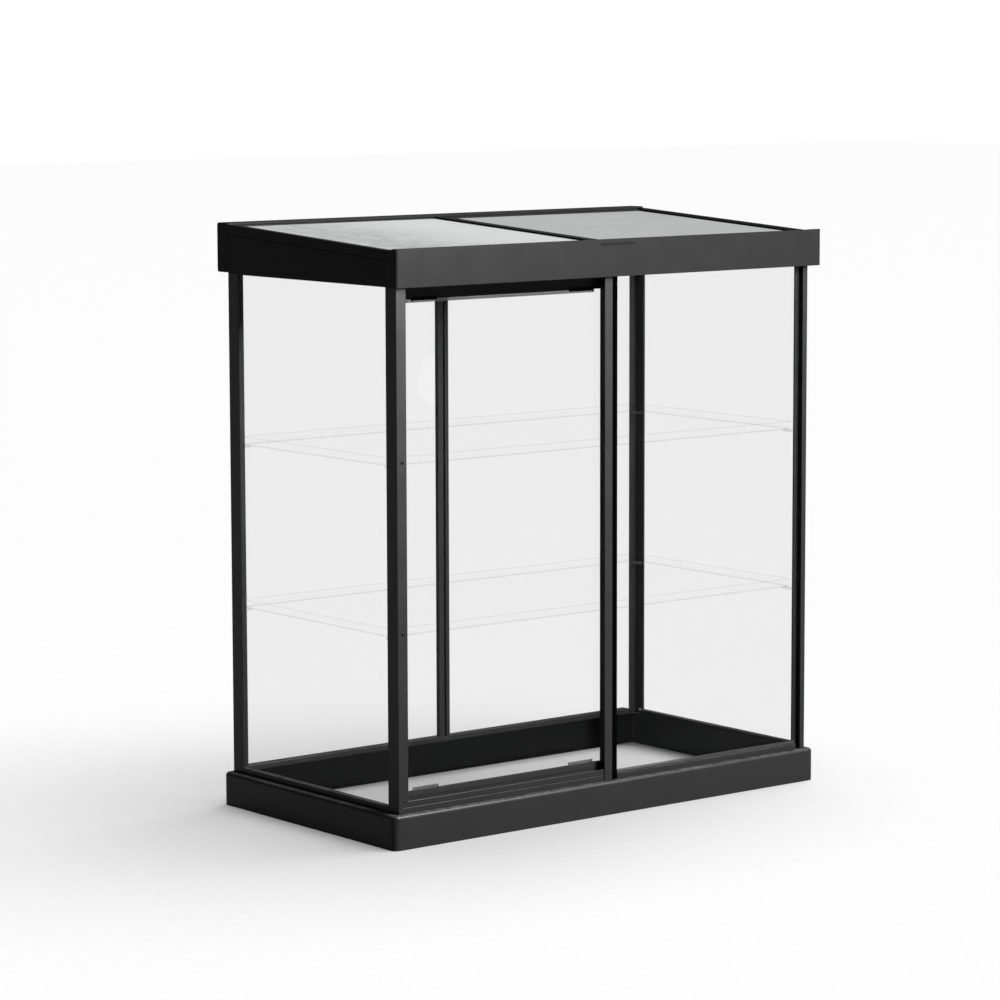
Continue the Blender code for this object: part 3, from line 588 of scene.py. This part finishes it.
def shelf_material(name, tint, haze, rim, bottom, top):
    """A clear shelf: its faces hardly show, and the edges of its rim gather the tint as lines."""
    made, nodes, links, shader, place = blank_material(name)
    marks = use_group(nodes, links, place, "wiping marks", Scale=4.0)
    links.new(mixed_colour(nodes, links, marks.outputs["Mask"], tint, tuple(0.9 * c for c in tint)),
              shader.inputs["Base Color"])
    links.new(ranged(nodes, links, marks.outputs["Mask"], 0.04, 0.10), shader.inputs["Roughness"])
    lines = use_group(
        nodes, links, place, "rim lines", Middle=(bottom + top) / 2, Half=(top - bottom) / 2)
    links.new(ranged(nodes, links, lines.outputs["Mask"], haze, rim), shader.inputs["Alpha"])
    return made


def ribbed_material(name, colour, pitch, contrast):
    """A milky sheet whose webs show through as darker lines, one to each rib; the lines are also painted shade
    between the ribs.
    """
    made, nodes, links, shader, place = blank_material(name)
    web_and_shade_mask = use_group(nodes, links, place, "rib webs", Pitch=pitch)
    # The lines' darker colour is partly the webs and partly painted rib shade.
    darker = tuple((1 - contrast) * channel for channel in colour)
    links.new(mixed_colour(nodes, links, web_and_shade_mask.outputs["Mask"], colour, darker),
              shader.inputs["Base Color"])
    marks = use_group(nodes, links, place, "wiping marks", Scale=5.0)
    links.new(ranged(nodes, links, marks.outputs["Mask"], 0.45, 0.55), shader.inputs["Roughness"])
    shader.inputs["Specular IOR Level"].default_value = 0.2
    shader.inputs["Alpha"].default_value = 0.92
    return made


def steel_material(name, colour, roughness, metallic):
    made, nodes, links, shader, place = blank_material(name)
    lumps = use_group(nodes, links, place, "orange peel", Size=500.0)
    darker = tuple(0.7 * channel for channel in colour)
    links.new(mixed_colour(nodes, links, lumps.outputs["Height"], colour, darker),
              shader.inputs["Base Color"])
    links.new(ranged(nodes, links, lumps.outputs["Gloss change"], roughness - 0.05, roughness + 0.1),
              shader.inputs["Roughness"])
    shader.inputs["Metallic"].default_value = metallic
    return made


def cover(node, material):
    slots = NODES[node].data.materials
    slots.clear()
    slots.append(material)


def nodes_named(*starts):
    found = sorted(name for name in NODES if name.startswith(starts))
    if not found:
        raise RuntimeError(f"the frame has no node named {starts}")
    return found


class CABINET_OT_coat_frame(bpy.types.Operator):
    """Coats the plinth, sills, posts, rails and bars"""

    bl_idname = "cabinet.coat_frame"
    bl_label = "Coat the frame"

    def execute(self, context):
        coat = context.scene.cabinet_coat
        colour = tuple(coat.colour)
        walls = powder_coat("powder coat, frame", colour, coat.roughness, coat.peel, coat.dust_and_sheen)
        for node in nodes_named(
                "plinth_", "front_sill", "side_sill", "back_sill",
                "door_threshold", "corner_post", "front_mullion",
                "back_middle_post"):
            cover(node, walls)
        edge = powder_coat(
            "powder coat, roof edge", colour, coat.roughness - 0.05, coat.peel, 0.3 * coat.dust_and_sheen, 0.022)
        for node in nodes_named(
                "roof_fascia", "fascia_end", "roof_side", "roof_back_rail",
                "back_rail_end", "front_head_rail",
                "roof_glazing_bar", "hatch_bar", "hatch_hinge_bar"):
            cover(node, edge)
        tracks = powder_coat(
            "powder coat, door rails", colour, coat.roughness + 0.06, coat.peel, coat.dust_and_sheen)
        for node in nodes_named(
                "door_bottom_rail", "door_top_rail", "door_lower_track", "door_upper_track"):
            cover(node, tracks)
        # The black rubber is darker and less glossy than the coat; on the mullion gasket, the fascia's centre
        # trim and the top door shoes its darkness is also painted shade in their recesses and under overhangs.
        rubber_and_painted_shade = powder_coat("black rubber", (0.0015, 0.0015, 0.0015), 0.7, coat.peel, 0.02, 0.02)
        for node in nodes_named("mullion_gasket", "fascia_centre_trim", "door_shoe_top"):
            cover(node, rubber_and_painted_shade)
        return {"FINISHED"}


class CABINET_OT_glaze(bpy.types.Operator):
    """Glazes the walls, the door and the shelves, and lays the clear bead of the fixed pane"""

    bl_idname = "cabinet.glaze"
    bl_label = "Glaze the cabinet"

    def execute(self, context):
        glazing = context.scene.cabinet_glazing
        tint = tuple(glazing.tint)
        glass = clear_material("clear glass, front and left", tint, glazing.haze)
        for node in nodes_named("side_glass_left", "front_glass_fixed", "door_glass"):
            cover(node, glass)
        glass = clear_material("clear glass, back and right", tint, glazing.far_haze)
        for node in nodes_named("side_glass_right", "back_glass"):
            cover(node, glass)
        for node in nodes_named("shelf_"):
            bottom, top = low(node).z, high(node).z
            cover(node, shelf_material(
                f"clear {node}", tint, glazing.shelf_haze, glazing.shelf_rim, bottom, top))
        plastic = clear_material("clear plastic", (0.5, 0.51, 0.51), 0.12, 0.12, 0.3)
        for node in nodes_named("bracket_"):
            cover(node, plastic)
        cover("door_edge_strip", clear_material("clear edge strip", tint, 0.008))
        grey = clear_material("grey seal", (0.12, 0.122, 0.122), 0.62, 0.3, 0.8)
        for node in nodes_named("door_top_seal", "door_shoe_bottom"):
            cover(node, grey)
        pane = low("front_glass_fixed")
        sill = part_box("front_sill_right")
        start = (sill[0].x + BEAD_GAP, pane.y - BEAD_GAP - BEAD_DEPTH, pane.z)
        end = (sill[1].x - BEAD_GAP, pane.y - BEAD_GAP, pane.z + glazing.bead_height)
        bead = rounded_strip("front_glass_bead", start, end, BEAD_ROUND)
        bead.data.materials.append(grey)
        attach(bead, "cabinet")
        return {"FINISHED"}


class CABINET_OT_rib_roof(bpy.types.Operator):
    """Lays the two ribbed roof sheets"""

    bl_idname = "cabinet.rib_roof"
    bl_label = "Lay the ribbed roof"

    def execute(self, context):
        roof = context.scene.cabinet_roof
        clear = tuple(roof.colour)
        # The hatch sheet's colour is the fixed sheet's colour scaled down to 0.68, and its web lines are
        # fainter.
        hatch_darker_colour = tuple(HATCH_DARKENING * channel for channel in clear)
        fixed = ribbed_material("ribbed roof sheet", clear, roof.pitch, 0.9)
        lifting = ribbed_material("ribbed hatch sheet", hatch_darker_colour, roof.pitch, 0.1)
        for node, body, share, plastic in (
                ("roof_panel_fixed", "cabinet", 1.0, fixed),
                ("hatch_panel", "roof_hatch", HATCH_RIB_SHARE, lifting)):
            sheet = ribbed_sheet(f"{node}_ribbed", node, roof.pitch, roof.depth * share)
            turn_outward(sheet)
            sheet.data.materials.append(plastic)
            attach(sheet, body)
            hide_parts(node)
        return {"FINISHED"}


class CABINET_OT_fit_screws(bpy.types.Operator):
    """Fits the screws in the posts and at their feet"""

    bl_idname = "cabinet.fit_screws"
    bl_label = "Fit the screws"

    def execute(self, context):
        screws = context.scene.cabinet_screws
        # The light grey copy of the screw paints a glint: the screws meant to shine get it, the others the dark
        # copy.
        dull_screw_material = steel_material("blackened screw", (0.004, 0.004, 0.004), 0.5, 1.0)
        glint_screw_material = steel_material("zinc-plated screw", (0.8, 0.8, 0.8), 0.3, 0.2)
        front_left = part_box("corner_post_front_left")
        front_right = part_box("corner_post_front_right")
        back_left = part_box("corner_post_back_left")
        back_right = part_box("corner_post_back_right")
        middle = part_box("back_middle_post")
        front, left = (0, -1, 0), (-1, 0, 0)
        back_face = middle[0].y - GAP
        places = []
        for level, z in (("upper", low("shelf_upper").z + UPPER_SCREW_RISE),
                         ("lower", low("shelf_lower").z + LOWER_SCREW_RISE)):
            places.append((f"screw_front_left_{level}", dull_screw_material, front,
                           (front_left[0].x + FRONT_LEFT_SCREW_IN, front_left[0].y - GAP, z)))
            places.append((f"screw_front_right_{level}", dull_screw_material, left,
                           (front_right[1].x - FRONT_RIGHT_SCREW_IN - GAP,
                            front_right[0].y + FRONT_RIGHT_SCREW_BACK, z)))
            places.append((f"screw_back_left_{level}", glint_screw_material, front,
                           (back_left[0].x + BACK_LEFT_SCREW_IN, back_face, z)))
            places.append((f"screw_back_right_{level}", dull_screw_material, front,
                           (back_right[1].x - BACK_RIGHT_SCREW_IN, back_face, z)))
        places.append(("screw_foot_middle", dull_screw_material, front,
                       (middle[0].x + MIDDLE_FOOT_IN, back_face, middle[0].z + FOOT_RISE)))
        foot = back_right[0].z + RIGHT_FOOT_RISE
        places.append(("screw_foot_right_side", glint_screw_material, left,
                       (back_right[1].x - RIGHT_FOOT_SIDE_IN - GAP,
                        back_right[0].y + RIGHT_FOOT_SIDE_BACK, foot)))
        places.append(("screw_foot_right_back", dull_screw_material, front,
                       (back_right[1].x - BACK_FOOT_IN, back_face, foot)))
        places.append(("screw_foot_left_back", dull_screw_material, front,
                       (back_left[0].x + BACK_FOOT_IN, back_face, foot)))
        for name, material, outward, place in places:
            head = turned_screw(name, place, outward, screws.diameter, screws.height, screws.rings)
            head.data.materials.append(material)
            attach(head, "cabinet")
        return {"FINISHED"}


class CABINET_OT_set_stage(bpy.types.Operator):
    """Sets the floor, the lights and the camera"""

    bl_idname = "cabinet.set_stage"
    bl_label = "Set the stage"

    def execute(self, context):
        studio = context.scene.cabinet_studio
        context.scene.view_settings.view_transform = "Standard"
        context.scene.cycles.transparent_max_bounces = studio.clear_layers
        level = CAD_BOX[0][2] - GAP
        corners = [(x * FLOOR_HALF, y * FLOOR_HALF, level) for x, y in ((-1, -1), (1, -1), (1, 1), (-1, 1))]
        floor = mesh_object("floor", corners, [(0, 1, 2, 3)], smooth=False)
        pale, nodes, links, shader, place = blank_material("pale floor")
        paper = use_group(nodes, links, place, "orange peel", Size=40.0)
        white, pearl = (0.94, 0.94, 0.94), (0.9, 0.9, 0.9)
        links.new(mixed_colour(nodes, links, paper.outputs["Height"], white, pearl),
                  shader.inputs["Base Color"])
        shader.inputs["Roughness"].default_value = 0.9
        shader.inputs["Specular IOR Level"].default_value = 0.1
        floor.data.materials.append(pale)
        floor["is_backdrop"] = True
        key = bpy.data.lights.new("key", "AREA")
        key.energy = studio.key
        key.size = KEY_SIZE
        lamp = self.hang(key, KEY_PLACE, KEY_TARGET)
        lit = bpy.data.collections.new("lit by the key light")
        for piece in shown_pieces():
            if not piece.name.startswith(OUT_OF_THE_KEY):
                lit.objects.link(piece)
        lamp.light_linking.receiver_collection = lit
        top = bpy.data.lights.new("top", "SUN")
        top.energy = studio.top
        top.angle = TOP_SPREAD
        self.hang(top, TOP_PLACE, (0, 0, 0))
        self.world(context)
        self.camera(context, studio)
        return {"FINISHED"}

    def hang(self, data, place, target):
        lamp = bpy.data.objects.new(data.name, data)
        bpy.context.scene.collection.objects.link(lamp)
        lamp.location = place
        lamp.rotation_euler = (Vector(target) - Vector(place)).to_track_quat("-Z", "Y").to_euler()
        return lamp

    def world(self, context):
        """White to the eye, and a dimmer even light on the cabinet."""
        surroundings = bpy.data.worlds.new("studio")
        surroundings.use_nodes = True
        nodes, links = surroundings.node_tree.nodes, surroundings.node_tree.links
        background = nodes["Background"]
        background.inputs["Color"].default_value = (1, 1, 1, 1)
        path = nodes.new("ShaderNodeLightPath")
        change = nodes.new("ShaderNodeMapRange")
        change.inputs["To Min"].default_value = SKY_ON_CABINET
        change.inputs["To Max"].default_value = SKY_BEHIND
        links.new(path.outputs["Is Camera Ray"], change.inputs["Value"])
        links.new(change.outputs["Result"], background.inputs["Strength"])
        context.scene.world = surroundings

    def camera(self, context, studio):
        az, pitch, roll = studio.azimuth, studio.pitch, studio.roll
        level = math.cos(pitch)
        ahead = Vector((-math.sin(az) * level, math.cos(az) * level, -math.sin(pitch)))
        right = ahead.cross(Vector((0, 0, 1))).normalized()
        upward = right.cross(ahead)
        turned_right = right * math.cos(roll) + upward * math.sin(roll)
        turned_up = upward * math.cos(roll) - right * math.sin(roll)
        data = bpy.data.cameras.new("camera")
        data.sensor_width = 36
        data.lens = LENS
        data.shift_x, data.shift_y = LENS_SHIFT
        data.clip_end = 200
        eye = bpy.data.objects.new("camera", data)
        context.scene.collection.objects.link(eye)
        turn = Matrix((turned_right, turned_up, -ahead)).transposed()
        eye.matrix_world = Matrix.Translation(EYE_PLACE) @ turn.to_4x4()
        context.scene.camera = eye


class CABINET_PT_sidebar(bpy.types.Panel):
    """Lists the cabinet's operators"""

    bl_label = "Glazed Cabinet"
    bl_idname = "CABINET_PT_sidebar"
    bl_space_type = "VIEW_3D"
    bl_region_type = "UI"
    bl_category = "Cabinet"

    def draw(self, context):
        for settings, operator in PARTS:
            box = self.layout.box()
            group = getattr(context.scene, settings)
            for name in group.__annotations__:
                box.prop(group, name)
            box.operator(operator.bl_idname)


SETTINGS = {
    "cabinet_coat": CoatSettings,
    "cabinet_glazing": GlazingSettings,
    "cabinet_roof": RoofSettings,
    "cabinet_screws": ScrewSettings,
    "cabinet_studio": StudioSettings,
}
PARTS = (
    ("cabinet_coat", CABINET_OT_coat_frame),
    ("cabinet_glazing", CABINET_OT_glaze),
    ("cabinet_roof", CABINET_OT_rib_roof),
    ("cabinet_screws", CABINET_OT_fit_screws),
    ("cabinet_studio", CABINET_OT_set_stage),
)


def register():
    for name, group in SETTINGS.items():
        bpy.utils.register_class(group)
        setattr(bpy.types.Scene, name, PointerProperty(type=group))
    for settings, operator in PARTS:
        bpy.utils.register_class(operator)
    bpy.utils.register_class(CABINET_PT_sidebar)


def unregister():
    bpy.utils.unregister_class(CABINET_PT_sidebar)
    for settings, operator in reversed(PARTS):
        bpy.utils.unregister_class(operator)
    for name, group in reversed(SETTINGS.items()):
        delattr(bpy.types.Scene, name)
        bpy.utils.unregister_class(group)


def main():
    register()
    bpy.ops.cabinet.coat_frame()
    bpy.ops.cabinet.glaze()
    bpy.ops.cabinet.rib_roof()
    bpy.ops.cabinet.fit_screws()
    bpy.ops.cabinet.set_stage()


if __name__ == "__main__":
    main()
